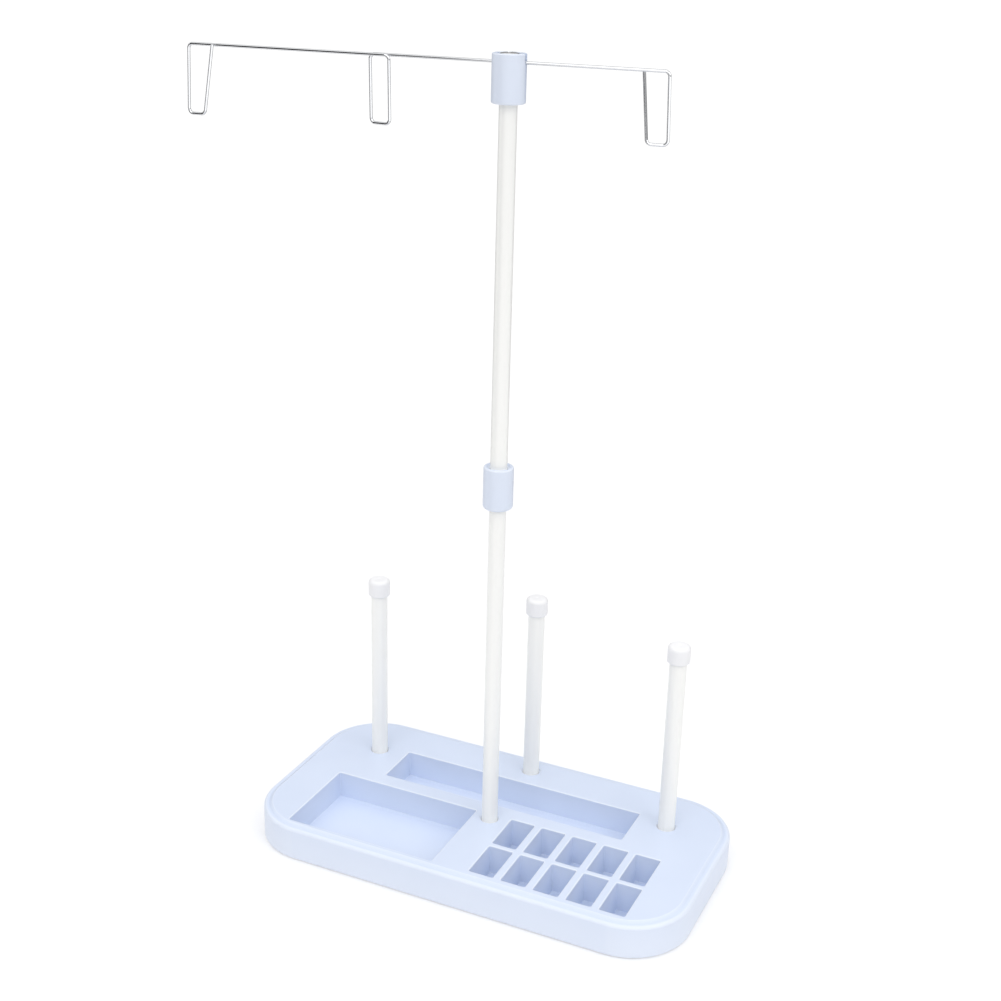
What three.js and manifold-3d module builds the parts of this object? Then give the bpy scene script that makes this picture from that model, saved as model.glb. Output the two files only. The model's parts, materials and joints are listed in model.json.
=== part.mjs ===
// A sewing-thread spool stand: a moulded base with trays and bobbin slots, three spool pins,
// a two-part mast and a bent wire guide that carries the threads up to the machine.
// Millimetres, +Z up. The origin is on the desk, under the mast axis. +X runs along the base
// towards the bobbin slots, and the front of the base faces -Y.

import * as THREE from 'three';
import { mergeVertices } from 'three/addons/utils/BufferGeometryUtils.js';
import Module from 'manifold-3d';

const wasm = await Module();
wasm.setup();

// ---- Base moulding ----
const BASE = {
  length: 230,
  depth: 119,
  centreY: 6.1,
  cornerRadius: 31.4,
  bottom: 0.8,
  top: 18.6,
  rimWidth: 3.7,
  rimDrop: 1.0,
  edgeRadius: 1.6,
  edgeSteps: 3,
  plateauEdge: 0.9,
  wall: 2.4,
  skin: 2.2,
};

// ---- Trays and bobbin slots, as their mouths on the top face ----
const DRAFT = 0.5;
const SHELL = 2.0;
const BIG_TRAY = { x0: -89.8, x1: -9.1, y0: -47.0, y1: 3.5, depth: 14 };
const LONG_TRAY = { x0: -66.9, x1: 66.9, y0: 12.4, y1: 38.9, depth: 14 };
const SLOT = {
  firstX: 10.6,
  pitch: 16.8,
  columns: 5,
  width: 12.7,
  length: 23.5,
  rowFronts: [-45.8, -19.4],
  depth: 15,
  floor: 1.6,
};

// ---- Sockets that hold the tubes ----
const SOCKET = { clearance: 0.1, mouthWider: 0.75, mouthDepth: 0.9, bossWall: 2.4, floor: 2.0 };
const PIN_PLACES = [
  { name: 'left', x: -82.8, y: 34.3 },
  { name: 'middle', x: 0, y: 51.9 },
  { name: 'right', x: 82.8, y: 34.3 },
];
const RIB = { thickness: 1.6, bottom: 6, crossX: [-75, -38, 38, 75], alongY: [46] };

// ---- Anti-slip pads ----
const PAD = { radius: 6, height: 2.0, bossRadius: 7.2, glueGap: 0.1, cornerX: 98, cornerY: 43 };

// ---- Spool pins and their caps ----
const PIN = { radius: 4.25, bore: 2.75, socketDepth: 14, tipAboveBase: 100 };
const CAP = { radius: 5.6, height: 9, roof: 1.8, aboveBase: 92.9, clearance: 0.08, shoulder: 1.8, foot: 0.8 };

// ---- Mast ----
const MAST = { radius: 4.0, bore: 2.5, socketDepth: 14 };
const COUPLING = {
  radius: 7.1,
  bottom: 188.0,
  top: 208.6,
  web: 1.2,
  webBore: 2.6,
  footEdge: 1.5,
  topEdge: 0.75,
  mouthRadius: 5.5,
  mouthDepth: 1.2,
};
const COUPLING_FIT = { lower: 0.05, upper: 0.2 };
const END_GAP = 0.1;

// ---- Guide hub, with its clamp screw and washer ----
const HUB = {
  radius: 7.5,
  bottom: 372.6,
  top: 393.4,
  footEdge: 0.8,
  topEdge: 0.4,
  tubeBoreTop: 384.0,
  seat: 388.9,
  recessRadius: 5.2,
  slotWidth: 2.2,
  fit: 0.08,
  pilotRadius: 2.1,
};
const WASHER = { radius: 4.7, bore: 2.2, thickness: 0.5 };
const SCREW = {
  headRadius: 4.5,
  top: 393.8,
  dome: 0.9,
  shankRadius: 2.0,
  tip: 380.5,
  crossLength: 4.8,
  crossWidth: 1.0,
  crossDepth: 1.5,
};
const STACK_GAP = 0.1;

// ---- Wire guide: distances along the bar, from the mast axis ----
const WIRE = { radius: 0.7, sides: 8, bend: 2.2, bendSteps: 4, lap: 1.7, turn: 5, endRise: 0.4 };
const RIGHT_EYE = { outerTop: 69.5, outerFoot: 70.6, innerFoot: 61.4, innerTop: 58.2, drop: 29.7 };
const MIDDLE_EYE = { innerTop: -54.7, innerFoot: -54.3, outerFoot: -63.9, outerTop: -64.3, drop: 29.2 };
const LEFT_EYE = { outerTop: -153.2, outerFoot: -154.5, innerFoot: -146.4, innerTop: -140.2, drop: 30.8 };
const SCREW_BYPASS = { start: 4.8, side: 2.6, reach: 3.3, bend: 0.9 };

const ROUND_STEPS = 32;
const HIDDEN_STEPS = 20;
const OUTLINE_STEPS = 8;
const FILLET_STEPS = 3;
const OVERCUT = 1;

// ---- Colours and surfaces ----
const paleBlue = { color: 0xdde6f6, roughness: 0.35, metalness: 0 };
const white = { color: 0xf3f3f5, roughness: 0.3, metalness: 0 };
const steel = { color: 0xc9cbce, roughness: 0.18, metalness: 1 };
const silicone = { color: 0xd9dcde, roughness: 0.7, metalness: 0 };

// ---- Solids ----

function toSolid(geometry) {
  const bare = geometry.clone();
  bare.deleteAttribute('normal');
  bare.deleteAttribute('uv');
  const merged = mergeVertices(bare, 1e-4);
  const corners = merged.index.array;
  const kept = [];
  for (let i = 0; i < corners.length; i += 3) {
    const [a, b, c] = [corners[i], corners[i + 1], corners[i + 2]];
    if (a !== b && b !== c && a !== c) {
      kept.push(a, b, c);
    }
  }
  const vertProperties = new Float32Array(merged.attributes.position.array);
  return new wasm.Manifold(new wasm.Mesh({ numProp: 3, vertProperties, triVerts: new Uint32Array(kept) }));
}

function toGeometry(solid) {
  const mesh = solid.getMesh();
  const geometry = new THREE.BufferGeometry();
  geometry.setAttribute('position', new THREE.BufferAttribute(mesh.vertProperties, 3));
  geometry.setIndex(new THREE.BufferAttribute(mesh.triVerts, 1));
  geometry.computeVertexNormals();
  return geometry;
}

function addAll(solids) {
  return solids.reduce((sum, solid) => sum.add(solid));
}

function box(x0, x1, y0, y1, z0, z1) {
  const geometry = new THREE.BoxGeometry(x1 - x0, y1 - y0, z1 - z0);
  geometry.translate((x0 + x1) / 2, (y0 + y1) / 2, (z0 + z1) / 2);
  return toSolid(geometry);
}

// Turns a closed profile of [radius, height] points about the Z axis.
function turned(profile, x = 0, y = 0, steps = ROUND_STEPS) {
  const points = profile.map(([radius, height]) => new THREE.Vector2(radius, height));
  const geometry = new THREE.LatheGeometry(points, steps);
  geometry.rotateX(Math.PI / 2);
  geometry.translate(x, y, 0);
  return toSolid(geometry);
}

function disc(radius, z0, z1, x = 0, y = 0, steps = ROUND_STEPS) {
  return turned([[0, z0], [radius, z0], [radius, z1], [0, z1]], x, y, steps);
}

function tube(radius, bore, z0, z1, x = 0, y = 0) {
  const profile = [[bore, z0], [radius, z0], [radius, z1], [bore, z1], [bore, z0]];
  return turned(profile, x, y);
}

// Points of a quarter circle from angle `from` to `to`, in degrees.
function arc(centreRadius, centreHeight, size, from, to, steps) {
  return Array.from({ length: steps + 1 }, (_, i) => {
    const angle = THREE.MathUtils.degToRad(from + ((to - from) * i) / steps);
    return [centreRadius + size * Math.cos(angle), centreHeight + size * Math.sin(angle)];
  });
}

function roundedRectangle(x0, x1, y0, y1, radius) {
  const shape = new THREE.Shape();
  shape.moveTo(x0 + radius, y0);
  shape.lineTo(x1 - radius, y0);
  shape.absarc(x1 - radius, y0 + radius, radius, -Math.PI / 2, 0);
  shape.absarc(x1 - radius, y1 - radius, radius, 0, Math.PI / 2);
  shape.absarc(x0 + radius, y1 - radius, radius, Math.PI / 2, Math.PI);
  shape.absarc(x0 + radius, y0 + radius, radius, Math.PI, (3 * Math.PI) / 2);
  return shape;
}

// The base outline, moved inwards by `inset`.
function baseOutline(inset) {
  const halfLength = BASE.length / 2 - inset;
  const halfDepth = BASE.depth / 2 - inset;
  const radius = BASE.cornerRadius - inset;
  return roundedRectangle(-halfLength, halfLength, BASE.centreY - halfDepth, BASE.centreY + halfDepth, radius);
}

function slab(outline, z0, z1) {
  const options = { depth: z1 - z0, bevelEnabled: false, curveSegments: OUTLINE_STEPS };
  const geometry = new THREE.ExtrudeGeometry(outline, options);
  geometry.translate(0, 0, z0);
  return toSolid(geometry);
}

// A slab of the base outline whose top and bottom edges are rounded by `round`.
function roundedSlab(inset, z0, z1, round, bevelSegments) {
  const geometry = new THREE.ExtrudeGeometry(baseOutline(inset + round), {
    depth: z1 - z0 - 2 * round,
    bevelThickness: round,
    bevelSize: round,
    bevelSegments,
    curveSegments: OUTLINE_STEPS,
  });
  geometry.translate(0, 0, z0 + round);
  return toSolid(geometry);
}

// ---- Base ----

function outerBody() {
  const rimTop = BASE.top - BASE.rimDrop;
  const lower = slab(baseOutline(0), BASE.bottom, BASE.bottom + BASE.skin);
  const upper = roundedSlab(0, BASE.bottom, rimTop, BASE.edgeRadius, BASE.edgeSteps);
  const plateau = roundedSlab(BASE.rimWidth, rimTop - BASE.skin, BASE.top, BASE.plateauEdge, 1);
  return addAll([lower, upper, plateau]);
}

// A pocket that narrows downwards by the draft. Its widest section lies on the top face, and
// above that face it narrows again, in the open air.
function pocketCutter({ x0, x1, y0, y1, depth }) {
  const floor = new THREE.Shape([
    new THREE.Vector2(x0 + DRAFT, y0 + DRAFT),
    new THREE.Vector2(x1 - DRAFT, y0 + DRAFT),
    new THREE.Vector2(x1 - DRAFT, y1 - DRAFT),
    new THREE.Vector2(x0 + DRAFT, y1 - DRAFT),
  ]);
  const geometry = new THREE.ExtrudeGeometry(floor, {
    depth: END_GAP,
    bevelThickness: depth,
    bevelSize: DRAFT,
    bevelSegments: 1,
  });
  geometry.translate(0, 0, BASE.top);
  return toSolid(geometry);
}

function bobbinSlots() {
  const slots = [];
  for (const y0 of SLOT.rowFronts) {
    for (let column = 0; column < SLOT.columns; column += 1) {
      const x0 = SLOT.firstX + column * SLOT.pitch;
      slots.push({ x0, x1: x0 + SLOT.width, y0, y1: y0 + SLOT.length, depth: SLOT.depth });
    }
  }
  return slots;
}

function trayShell({ x0, x1, y0, y1, depth }) {
  const bottom = BASE.top - depth - SHELL;
  return box(x0 - SHELL, x1 + SHELL, y0 - SHELL, y1 + SHELL, bottom, BASE.top);
}

function slotBlock() {
  const x1 = SLOT.firstX + (SLOT.columns - 1) * SLOT.pitch + SLOT.width;
  const y1 = SLOT.rowFronts[1] + SLOT.length;
  const bottom = BASE.top - SLOT.depth - SLOT.floor;
  return box(SLOT.firstX - SHELL, x1 + SHELL, SLOT.rowFronts[0] - SHELL, y1 + SHELL, bottom, BASE.top);
}

function socketCutter(radius, depth, x, y) {
  const bore = radius + SOCKET.clearance;
  const mouth = radius + SOCKET.mouthWider;
  const profile = [
    [0, BASE.top - depth],
    [bore, BASE.top - depth],
    [bore, BASE.top - SOCKET.mouthDepth],
    [mouth, BASE.top],
    [mouth, BASE.top + OVERCUT],
    [0, BASE.top + OVERCUT],
  ];
  return turned(profile, x, y);
}

function socketBoss(radius, depth, x, y) {
  const bottom = BASE.top - depth - SOCKET.floor;
  return disc(radius + SOCKET.bossWall, bottom, BASE.top, x, y, HIDDEN_STEPS);
}

function padPlaces() {
  const places = [{ name: 'under_mast', x: 0, y: 0 }];
  for (const [row, side] of [['front', -1], ['back', 1]]) {
    for (const [end, way] of [['left', -1], ['right', 1]]) {
      places.push({ name: `${row}_${end}`, x: way * PAD.cornerX, y: BASE.centreY + side * PAD.cornerY });
    }
  }
  return places;
}

function padBoss({ x, y }) {
  return disc(PAD.bossRadius, PAD.height + PAD.glueGap, BASE.top, x, y, HIDDEN_STEPS);
}

function ribs() {
  const halfLength = BASE.length / 2;
  const halfDepth = BASE.depth / 2;
  const half = RIB.thickness / 2;
  const [front, back] = [BASE.centreY - halfDepth, BASE.centreY + halfDepth];
  const across = RIB.crossX.map((x) => box(x - half, x + half, front, back, RIB.bottom, BASE.top));
  const along = RIB.alongY.map((y) => box(-halfLength, halfLength, y - half, y + half, RIB.bottom, BASE.top));
  return [...across, ...along];
}

// The open space under the moulding: the inside of the outer wall, less everything that hangs
// down into it from the top skin.
function underside() {
  const ceiling = BASE.top - BASE.rimDrop - BASE.skin;
  const space = slab(baseOutline(BASE.wall), BASE.bottom - OVERCUT, ceiling);
  const pinBosses = PIN_PLACES.map(({ x, y }) => socketBoss(PIN.radius, PIN.socketDepth, x, y));
  const mastBoss = socketBoss(MAST.radius, MAST.socketDepth, 0, 0);
  const padBosses = padPlaces().map(padBoss);
  const trays = [BIG_TRAY, LONG_TRAY].map(trayShell);
  return space.subtract(addAll([...trays, slotBlock(), ...pinBosses, mastBoss, ...padBosses, ...ribs()]));
}

function baseTray() {
  const pockets = [BIG_TRAY, LONG_TRAY, ...bobbinSlots()].map(pocketCutter);
  const pinSockets = PIN_PLACES.map(({ x, y }) => socketCutter(PIN.radius, PIN.socketDepth, x, y));
  const mastSocket = socketCutter(MAST.radius, MAST.socketDepth, 0, 0);
  return outerBody().subtract(underside()).subtract(addAll([...pockets, ...pinSockets, mastSocket]));
}

// ---- Spool pins ----

function spoolPin({ x, y }) {
  const bottom = BASE.top - PIN.socketDepth + END_GAP;
  return tube(PIN.radius, PIN.bore, bottom, BASE.top + PIN.tipAboveBase, x, y);
}

function pinCap({ x, y }) {
  const bottom = BASE.top + CAP.aboveBase;
  const top = bottom + CAP.height;
  const bore = PIN.radius + CAP.clearance;
  const profile = [
    [0, top - CAP.roof],
    [bore, top - CAP.roof],
    [bore, bottom],
    ...arc(CAP.radius - CAP.foot, bottom + CAP.foot, CAP.foot, -90, 0, FILLET_STEPS),
    ...arc(CAP.radius - CAP.shoulder, top - CAP.shoulder, CAP.shoulder, 0, 90, FILLET_STEPS),
    [0, top],
  ];
  return turned(profile, x, y);
}

// ---- Mast ----

const couplingMiddle = (COUPLING.bottom + COUPLING.top) / 2;

function lowerMastTube() {
  const top = couplingMiddle - COUPLING.web / 2 - END_GAP;
  return tube(MAST.radius, MAST.bore, BASE.top - MAST.socketDepth + END_GAP, top);
}

function upperMastTube() {
  const bottom = couplingMiddle + COUPLING.web / 2 + END_GAP;
  return tube(MAST.radius, MAST.bore, bottom, HUB.tubeBoreTop - END_GAP);
}

function mastCoupling() {
  const { radius, bottom, top, web, webBore, footEdge, topEdge, mouthRadius, mouthDepth } = COUPLING;
  const lowerBore = MAST.radius + COUPLING_FIT.lower;
  const upperBore = MAST.radius + COUPLING_FIT.upper;
  const profile = [
    [webBore, couplingMiddle - web / 2],
    [lowerBore, couplingMiddle - web / 2],
    [lowerBore, bottom],
    ...arc(radius - footEdge, bottom + footEdge, footEdge, -90, 0, FILLET_STEPS),
    ...arc(radius - topEdge, top - topEdge, topEdge, 0, 90, FILLET_STEPS),
    [mouthRadius, top],
    [upperBore, top - mouthDepth],
    [upperBore, couplingMiddle + web / 2],
    [webBore, couplingMiddle + web / 2],
    [webBore, couplingMiddle - web / 2],
  ];
  return turned(profile);
}

// ---- Thread guide ----

function guideHub() {
  const { radius, bottom, top, footEdge, topEdge, tubeBoreTop, seat } = HUB;
  const { recessRadius, slotWidth, fit, pilotRadius } = HUB;
  const bore = MAST.radius + fit;
  const profile = [
    [pilotRadius, tubeBoreTop],
    [bore, tubeBoreTop],
    [bore, bottom],
    ...arc(radius - footEdge, bottom + footEdge, footEdge, -90, 0, FILLET_STEPS),
    ...arc(radius - topEdge, top - topEdge, topEdge, 0, 90, FILLET_STEPS),
    [recessRadius, top],
    [recessRadius, seat],
    [pilotRadius, seat],
    [pilotRadius, tubeBoreTop],
  ];
  const wireSlot = box(-radius - OVERCUT, radius + OVERCUT, -slotWidth / 2, slotWidth / 2, seat, top + OVERCUT);
  return turned(profile).subtract(wireSlot);
}

const wireHeight = HUB.seat + STACK_GAP + WIRE.radius;
const washerBottom = wireHeight + WIRE.radius + STACK_GAP;
const headBottom = washerBottom + WASHER.thickness + STACK_GAP;

function guideWasher() {
  return tube(WASHER.radius, WASHER.bore, washerBottom, washerBottom + WASHER.thickness);
}

function guideScrew() {
  const { headRadius, top, dome, shankRadius, tip, crossLength, crossWidth, crossDepth } = SCREW;
  const profile = [
    [0, tip],
    [shankRadius / 2, tip],
    [shankRadius, tip + shankRadius],
    [shankRadius, headBottom],
    [headRadius, headBottom],
    ...arc(headRadius - dome, top - dome, dome, 0, 90, FILLET_STEPS),
    [0, top],
  ];
  const half = crossLength / 2;
  const [floor, above] = [top - crossDepth, top + OVERCUT];
  const cross = box(-half, half, -crossWidth / 2, crossWidth / 2, floor, above);
  const otherWay = box(-crossWidth / 2, crossWidth / 2, -half, half, floor, above);
  return turned(profile).subtract(cross.add(otherWay));
}

// A path that runs straight from one listed point to the next.
class PointPath extends THREE.Curve {
  constructor(points) {
    super();
    this.points = points;
  }

  getPoint(t, target = new THREE.Vector3()) {
    const place = t * (this.points.length - 1);
    const index = Math.min(Math.floor(place + 1e-9), this.points.length - 2);
    return target.lerpVectors(this.points[index], this.points[index + 1], place - index);
  }

  getPointAt(u, target) {
    return this.getPoint(u, target);
  }

  getTangentAt(u, target = new THREE.Vector3()) {
    const index = Math.round(u * (this.points.length - 1));
    const before = this.points[Math.max(index - 1, 0)];
    const after = this.points[Math.min(index + 1, this.points.length - 1)];
    return target.subVectors(after, before).normalize();
  }
}

// Replaces each inner corner of a path with a bend, as a wire is bent round a peg.
function bendCorners(corners) {
  const path = [corners[0].point];
  for (let i = 1; i < corners.length - 1; i += 1) {
    const { point, bend } = corners[i];
    const back = corners[i - 1].point.clone().sub(point).normalize();
    const onward = corners[i + 1].point.clone().sub(point).normalize();
    const reach = bend / Math.tan(back.angleTo(onward) / 2);
    const start = point.clone().addScaledVector(back, reach);
    const end = point.clone().addScaledVector(onward, reach);
    path.push(...new THREE.QuadraticBezierCurve3(start, point, end).getPoints(WIRE.bendSteps));
  }
  path.push(corners[corners.length - 1].point);
  return path;
}

// The corners of the guide, from the free end of the right eye to that of the left eye. The
// wire laps past itself at each eye by WIRE.lap, and goes round the clamp screw at the hub.
function guideCorners() {
  const { lap, bend, endRise } = WIRE;
  const { start, side, reach } = SCREW_BYPASS;
  const corner = (x, y, z, size = bend) => ({ point: new THREE.Vector3(x, y, z), bend: size });
  return [
    corner(RIGHT_EYE.innerTop, lap, endRise / 2),
    corner(RIGHT_EYE.innerFoot, 0, -RIGHT_EYE.drop),
    corner(RIGHT_EYE.outerFoot, 0, -RIGHT_EYE.drop),
    corner(RIGHT_EYE.outerTop, 0, 0),
    corner(start, 0, 0, SCREW_BYPASS.bend),
    corner(side, -reach, 0, SCREW_BYPASS.bend),
    corner(-side, -reach, 0, SCREW_BYPASS.bend),
    corner(-start, 0, 0, SCREW_BYPASS.bend),
    corner(MIDDLE_EYE.outerTop, 0, 0),
    corner(MIDDLE_EYE.outerFoot, 0, -MIDDLE_EYE.drop),
    corner(MIDDLE_EYE.innerFoot, -lap, -MIDDLE_EYE.drop),
    corner(MIDDLE_EYE.innerTop, -lap, 0),
    corner(LEFT_EYE.outerTop, -lap, 0),
    corner(LEFT_EYE.outerFoot, -lap, -LEFT_EYE.drop),
    corner(LEFT_EYE.innerFoot, -lap, -LEFT_EYE.drop),
    corner(LEFT_EYE.innerTop, -2 * lap, endRise),
  ];
}

function threadGuideWire() {
  const path = new PointPath(bendCorners(guideCorners()));
  const section = new THREE.Shape();
  for (let i = 0; i < WIRE.sides; i += 1) {
    const angle = (2 * Math.PI * i) / WIRE.sides;
    const [x, y] = [WIRE.radius * Math.cos(angle), WIRE.radius * Math.sin(angle)];
    if (i === 0) {
      section.moveTo(x, y);
    } else {
      section.lineTo(x, y);
    }
  }
  const geometry = new THREE.ExtrudeGeometry(section, { steps: path.points.length - 1, extrudePath: path });
  geometry.translate(0, 0, wireHeight);
  return toSolid(geometry);
}

// ---- Assembly ----

function node(name, solid, surface) {
  const mesh = new THREE.Mesh(toGeometry(solid), new THREE.MeshStandardMaterial(surface));
  mesh.name = name;
  return mesh;
}

const stand = new THREE.Group();
stand.add(node('base_tray', baseTray(), paleBlue));

for (const { name, x, y } of padPlaces()) {
  stand.add(node(`foot_pad_${name}`, disc(PAD.radius, 0, PAD.height, x, y), silicone));
}

for (const place of PIN_PLACES) {
  stand.add(node(`spool_pin_${place.name}`, spoolPin(place), white));
  stand.add(node(`pin_cap_${place.name}`, pinCap(place), white));
}

stand.add(node('lower_mast_tube', lowerMastTube(), white));
stand.add(node('mast_coupling', mastCoupling(), paleBlue));
stand.add(node('upper_mast_tube', upperMastTube(), white));

const guide = new THREE.Group();
guide.rotation.z = THREE.MathUtils.degToRad(WIRE.turn);
guide.add(node('guide_hub', guideHub(), paleBlue));
guide.add(node('thread_guide_wire', threadGuideWire(), steel));
guide.add(node('guide_washer', guideWasher(), steel));
guide.add(node('guide_screw', guideScrew(), steel));
stand.add(guide);

export default stand;
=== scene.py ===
# %% [markdown]
# # A sewing-thread spool stand
#
# The stand is a low moulded tray with ten bobbin slots. Three capped pins hold the spools, and
# a tall mast in two lengths carries a bent wire that leads the threads up to the machine.
# Every cell below makes one piece or one finish. Most pieces are surfaces computed with numpy:
# a profile is carried round an outline, or a circle is carried along a path.
# The CAD model is loaded first. It is the frame that every piece has to fit.

# %% Load the frame
import json
import math

import bmesh
import bpy
import numpy as np
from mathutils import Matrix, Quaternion, Vector


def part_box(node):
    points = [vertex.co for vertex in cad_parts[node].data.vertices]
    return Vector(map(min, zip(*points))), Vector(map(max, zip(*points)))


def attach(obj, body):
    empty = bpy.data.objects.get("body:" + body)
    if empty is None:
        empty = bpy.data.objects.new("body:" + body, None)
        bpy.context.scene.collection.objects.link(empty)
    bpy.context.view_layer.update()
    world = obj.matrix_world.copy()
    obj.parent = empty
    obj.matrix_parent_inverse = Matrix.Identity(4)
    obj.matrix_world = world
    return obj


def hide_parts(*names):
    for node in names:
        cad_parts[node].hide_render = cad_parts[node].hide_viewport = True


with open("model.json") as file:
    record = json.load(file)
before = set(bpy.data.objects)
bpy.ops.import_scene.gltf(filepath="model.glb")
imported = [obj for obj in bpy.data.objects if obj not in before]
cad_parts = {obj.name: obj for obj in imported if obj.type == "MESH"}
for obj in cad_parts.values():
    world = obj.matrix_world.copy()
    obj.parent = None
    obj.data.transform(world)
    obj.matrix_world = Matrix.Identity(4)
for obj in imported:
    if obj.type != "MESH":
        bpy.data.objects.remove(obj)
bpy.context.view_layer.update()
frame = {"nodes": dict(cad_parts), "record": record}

MM = 0.001


def box_mm(node):
    """A CAD node's lowest and highest corner, in millimetres."""
    low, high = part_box(node)
    return np.array(low) / MM, np.array(high) / MM


# %% [markdown]
# ## The camera
#
# The stand is seen from the front and a little from the right, from about 21 degrees above.
# An azimuth, an elevation and a distance from one aim point on the mast say all of that, and
# the camera's place is worked out from them. A small roll about the line of sight finishes it.

# %% Camera
AZIMUTH = 24.451
ELEVATION = 21.072
ROLL = 1.54
DISTANCE = 0.7165
AIM = Vector((0.00108, 0.00057, 0.19162))
LENS = 55.08
SENSOR = 36.0

camera_data = bpy.data.cameras.new("camera")
camera_data.lens = LENS
camera_data.sensor_width = SENSOR
camera_data.clip_start = 0.01
camera_data.clip_end = 60.0
camera = bpy.data.objects.new("camera", camera_data)
bpy.context.scene.collection.objects.link(camera)

turn, rise = math.radians(AZIMUTH), math.radians(ELEVATION)
towards_camera = Vector(
    (math.sin(turn) * math.cos(rise), -math.cos(turn) * math.cos(rise), math.sin(rise))
)
roll = Quaternion(towards_camera, math.radians(ROLL))
camera.location = AIM + towards_camera * DISTANCE
camera.rotation_mode = "QUATERNION"
camera.rotation_quaternion = roll @ (-towards_camera).to_track_quat("-Z", "Y")
bpy.context.scene.camera = camera
print("camera at, mm:", np.round(np.array(camera.location) / MM, 1))

# %% [markdown]
# ## Outlines and profiles
#
# Nearly everything here was turned, moulded or extruded, so one idea makes nearly every shape.
# An outline is a closed line seen from above, and each of its points knows which way is out.
# A profile is a list of (distance outwards, height) pairs. Carrying the profile round the
# outline gives a grid of points: a circle makes a turned piece, and a rectangle with round
# corners makes a tray wall. A fillet is then only a quarter circle in the profile.

# %% Outlines and profiles
ROUND = 72


def circle(x, y, steps=ROUND):
    """The outline of a turned piece: each point is the centre, and outwards is
    (cos a, sin a)."""
    angle = np.arange(steps) * 2 * math.pi / steps
    outward = np.stack([np.cos(angle), np.sin(angle)], axis=-1)
    return np.tile([float(x), float(y)], (steps, 1)), outward


def rounded_rectangle(x0, x1, y0, y1, radius, steps=10):
    """A rectangle with round corners. A corner is centre + radius * (cos a, sin a) over a
    quarter turn, and (cos a, sin a) is also the way out."""
    quarter = np.linspace(0, math.pi / 2, steps + 1)
    angle = np.arange(-1, 3)[:, None] * math.pi / 2 + quarter[None, :]
    near_x, far_x, near_y, far_y = x0 + radius, x1 - radius, y0 + radius, y1 - radius
    centres = np.array([[far_x, near_y], [far_x, far_y], [near_x, far_y], [near_x, near_y]])
    outward = np.stack([np.cos(angle), np.sin(angle)], axis=-1)
    points = centres[:, None, :] + radius * outward
    return points.reshape(-1, 2), outward.reshape(-1, 2)


def carry(outline, profile):
    """Point (i, j) is outline point j, moved out by the profile's distance i, at its height i."""
    points, outward = outline
    profile = np.asarray(profile, float)
    flat = points[None] + profile[:, None, :1] * outward[None]
    height = np.broadcast_to(profile[:, None, 1:], flat.shape[:2] + (1,))
    return np.concatenate([flat, height], axis=-1)


def fillet(centre, radius, start, end, steps=6):
    """Part of a circle in a profile: centre + radius * (cos a, sin a), from start to end in
    degrees."""
    angle = np.radians(np.linspace(start, end, steps + 1))
    ring = np.stack([np.cos(angle), np.sin(angle)], axis=-1)
    return (np.asarray(centre, float) + radius * ring).tolist()


rim = carry(circle(0, 0), fillet((4, 1), 1, -90, 90))
print("a 10 mm disc's rim has", rim.shape[0] * rim.shape[1], "points")

# %% [markdown]
# ## From grids to a mesh
#
# A grid of points becomes quads between neighbours, and its last column joins its first. The
# grids of one piece share their end rings, so merging doubles closes the seams and poles, and
# open rings are filled flat. Smooth shading alone would smear a fillet's shading over the flat
# face beside it. Weighted normals stop that, because the larger face decides a shared corner.

# %% Meshes
MERGE = 2e-7
SHARP = math.radians(32)


def quads(rows, columns, start):
    """Faces of a grid whose columns close into a ring: corner (i, j) to (i, j+1) to (i+1, j+1)."""
    index = start + np.arange(rows * columns).reshape(rows, columns)
    beside = np.roll(index, -1, axis=1)
    return np.stack([index[:-1], beside[:-1], beside[1:], index[1:]], axis=-1).reshape(-1, 4)


def closed_mesh(name, grids, flat_at=None, layers=()):
    """Joins grids given in millimetres, merges their doubles and fills every open ring. Rings at
    the height flat_at bound one face with holes in it, so that level is filled first. A layer
    is a name and a vector for each point."""
    counts = np.cumsum([0] + [g.shape[0] * g.shape[1] for g in grids])
    points = np.concatenate([g.reshape(-1, 3) for g in grids]) * MM
    faces = np.concatenate([quads(*g.shape[:2], n) for g, n in zip(grids, counts)])
    mesh = bpy.data.meshes.new(name)
    mesh.from_pydata(points, [], faces)
    for layer, values in layers:
        values = np.asarray(values, np.float32).ravel()
        mesh.attributes.new(layer, "FLOAT_VECTOR", "POINT").data.foreach_set("vector", values)
    bm = bmesh.new()
    bm.from_mesh(mesh)
    bmesh.ops.remove_doubles(bm, verts=bm.verts, dist=MERGE)
    bmesh.ops.dissolve_degenerate(bm, edges=bm.edges, dist=MERGE)
    if flat_at is not None:
        level = [
            e
            for e in bm.edges
            if e.is_boundary and all(abs(v.co.z - flat_at * MM) < MERGE for v in e.verts)
        ]
        bmesh.ops.triangle_fill(bm, edges=level, use_beauty=True, normal=(0, 0, 1))
    bmesh.ops.holes_fill(bm, edges=[e for e in bm.edges if e.is_boundary], sides=0)
    bmesh.ops.recalc_face_normals(bm, faces=bm.faces)
    bm.to_mesh(mesh)
    bm.free()
    piece = bpy.data.objects.new(name, mesh)
    bpy.context.scene.collection.objects.link(piece)
    return piece


def settle(piece):
    """Replaces a piece's mesh by what its modifiers make of it, and removes them."""
    bpy.context.view_layer.update()
    evaluated = piece.evaluated_get(bpy.context.evaluated_depsgraph_get())
    old, made = piece.data, bpy.data.meshes.new_from_object(evaluated)
    piece.modifiers.clear()
    piece.data = made
    made.name = piece.name
    bpy.data.meshes.remove(old)


def combine(piece, tool, operation):
    """Cuts the tool away from the piece, or adds it, and removes the tool."""
    step = piece.modifiers.new("solid", "BOOLEAN")
    step.operation, step.solver, step.object = operation, "MANIFOLD", tool
    settle(piece)
    bpy.data.objects.remove(tool)


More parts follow.
